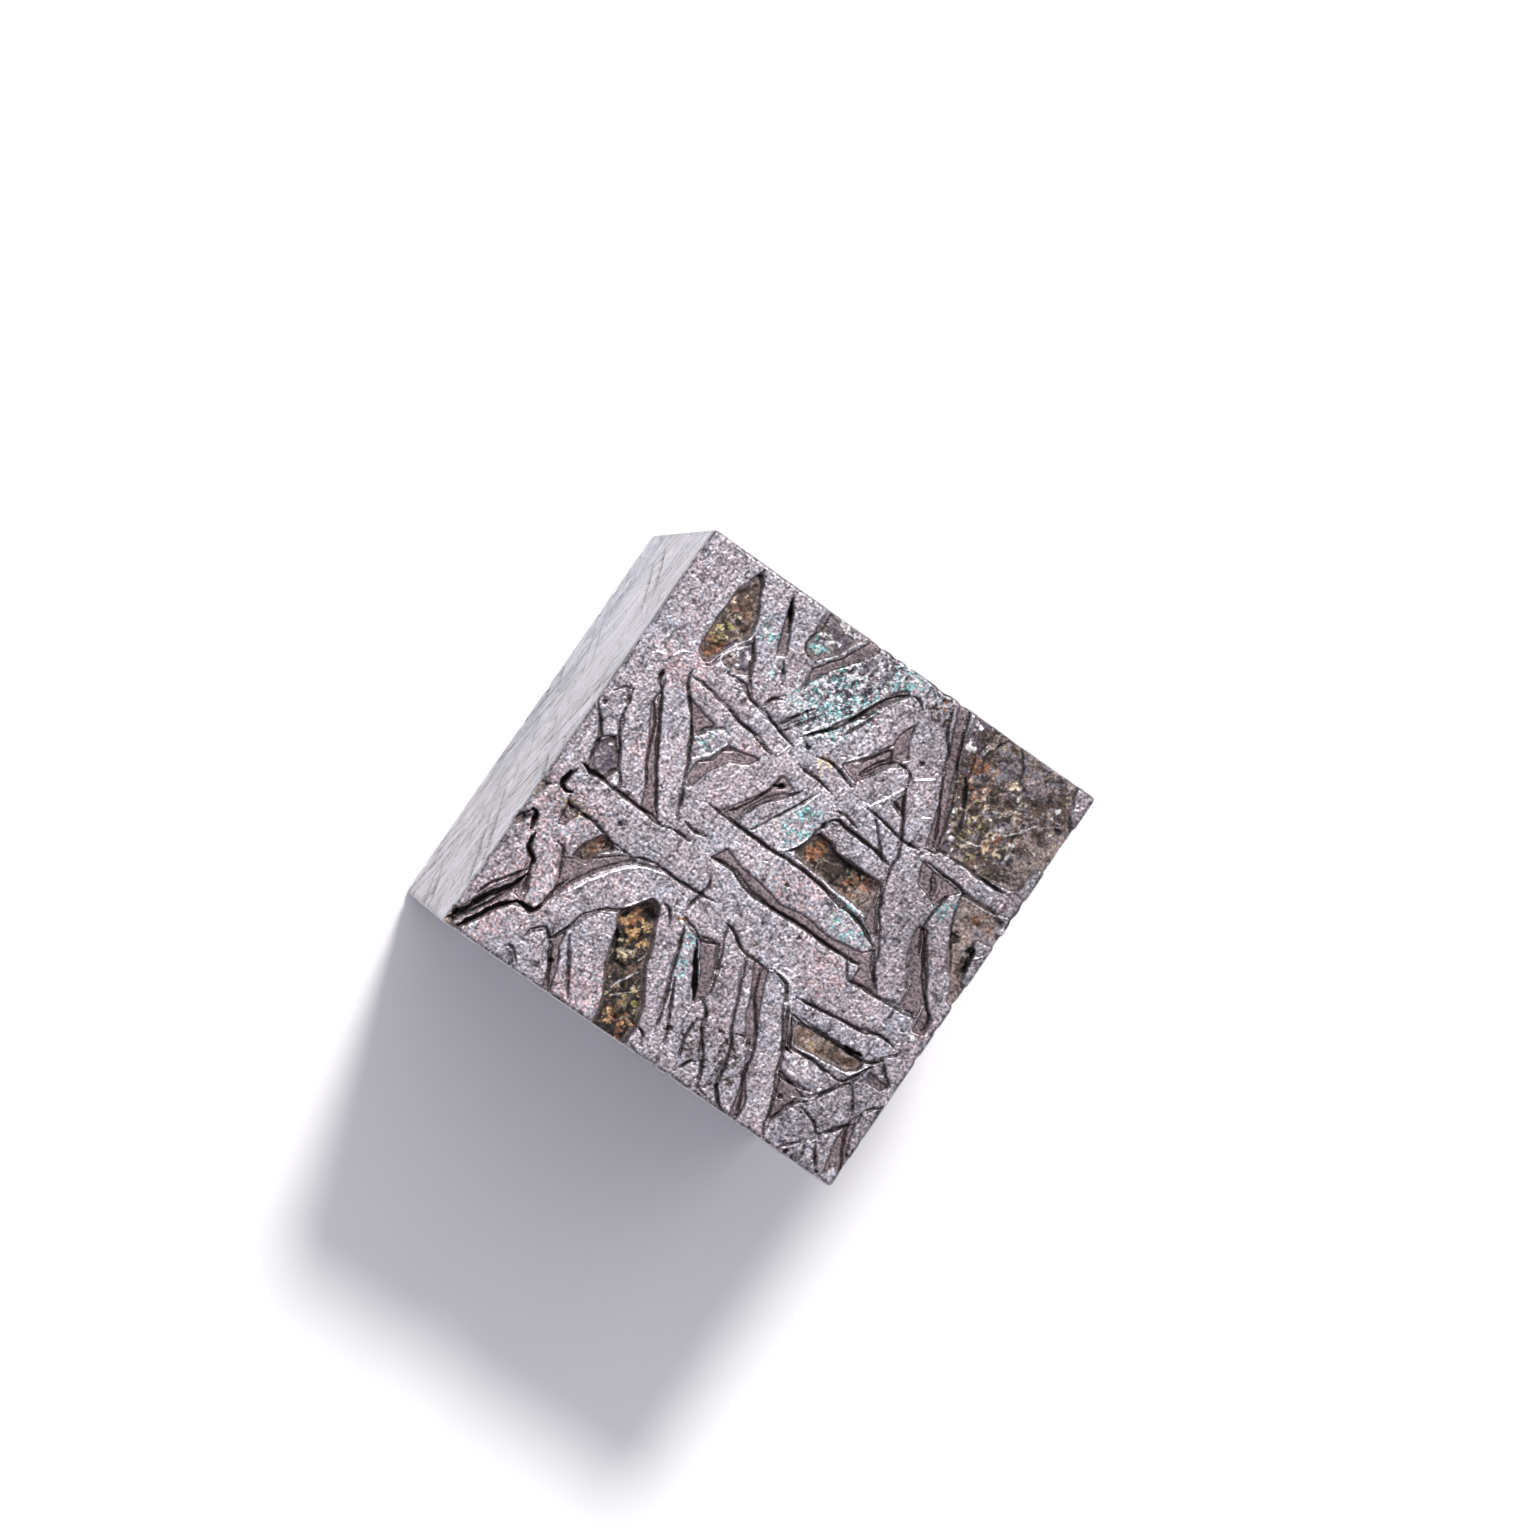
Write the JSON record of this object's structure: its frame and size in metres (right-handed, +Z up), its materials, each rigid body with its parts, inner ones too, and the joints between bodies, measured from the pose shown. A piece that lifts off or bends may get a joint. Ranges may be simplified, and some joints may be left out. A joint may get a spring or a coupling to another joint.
{
  "type": "iron meteorite cube",
  "caption": "Sawn and etched cube of octahedral iron meteorite, its faces showing crossing metal plates, recessed strips, seams and rough pits.",
  "frame": {"origin": "centre of the base, on the surface the cube rests on", "axes": "+Z up through the pattern face, +X and +Y along the cube's edges"},
  "size_m": [0.02, 0.02, 0.02],
  "materials": {
    "etched_iron": "etched, light grey plates with dark brown seams and pits"
  },
  "bodies": {
    "root": {"meteorite_cube": "etched_iron"}
  },
  "joints": []
}
